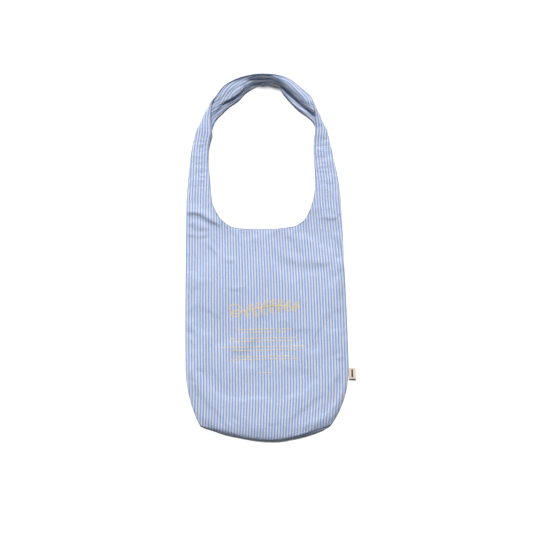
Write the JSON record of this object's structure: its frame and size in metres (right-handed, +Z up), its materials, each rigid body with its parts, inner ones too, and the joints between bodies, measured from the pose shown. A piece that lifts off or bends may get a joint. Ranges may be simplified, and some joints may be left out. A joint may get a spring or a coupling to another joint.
{
  "type": "shoulder bag",
  "caption": "Flat lined cotton shoulder bag with a deep scooped mouth, one wide loop strap and a small side label.",
  "frame": {"origin": "middle of the face that the bag rests on, half way between the base edge and the mouth", "axes": "+Y from the base towards the strap, +Z up out of the front panel, +X towards the side with the label"},
  "size_m": [0.3395, 0.7312, 0.0368],
  "materials": {
    "striped_cotton": "woven cotton, light blue and off-white stripes, matt",
    "lining_cotton": "the same striped cotton, matt",
    "seam_thread": "sewn seam in matching thread",
    "print_ink": "pale gold screen print, matt",
    "label_cotton": "woven cream tape",
    "label_bar_thread": "dark woven thread"
  },
  "bodies": {
    "bag": {"front_panel": "striped_cotton", "back_panel": "striped_cotton", "front_lining": "lining_cotton", "back_lining": "lining_cotton", "base_panel": "striped_cotton", "base_lining": "lining_cotton", "base_seam_front": "seam_thread", "base_seam_back": "seam_thread", "side_seam_left": "seam_thread", "side_seam_right": "seam_thread", "mouth_seam_front": "striped_cotton", "mouth_seam_back": "striped_cotton", "print_sprig": "print_ink", "print_rules": "print_ink"},
    "strap": {"strap_left_front": "striped_cotton", "strap_left_back": "striped_cotton", "strap_left_front_lining": "lining_cotton", "strap_left_back_lining": "lining_cotton", "strap_left_side_seam": "seam_thread", "strap_left_front_edge": "striped_cotton", "strap_left_back_edge": "striped_cotton", "strap_right_front": "striped_cotton", "strap_right_back": "striped_cotton", "strap_right_front_lining": "lining_cotton", "strap_right_back_lining": "lining_cotton", "strap_right_side_seam": "seam_thread", "strap_right_front_edge": "striped_cotton", "strap_right_back_edge": "striped_cotton", "shoulder_seam": "seam_thread"},
    "label": {"label_tab": "label_cotton", "label_bar": "label_bar_thread"}
  },
  "joints": [
    {"name": "strap_fold", "type": "hinge", "parent": "bag", "child": "strap", "pos_m": [0, 0.272, 0.0071], "axis": [1, 0, 0], "range_deg": [0, 165]},
    {"name": "label_fold", "type": "hinge", "parent": "bag", "child": "label", "pos_m": [0.1639, -0.08, 0.0032], "axis": [0, -1, 0], "range_deg": [0, 100]}
  ]
}
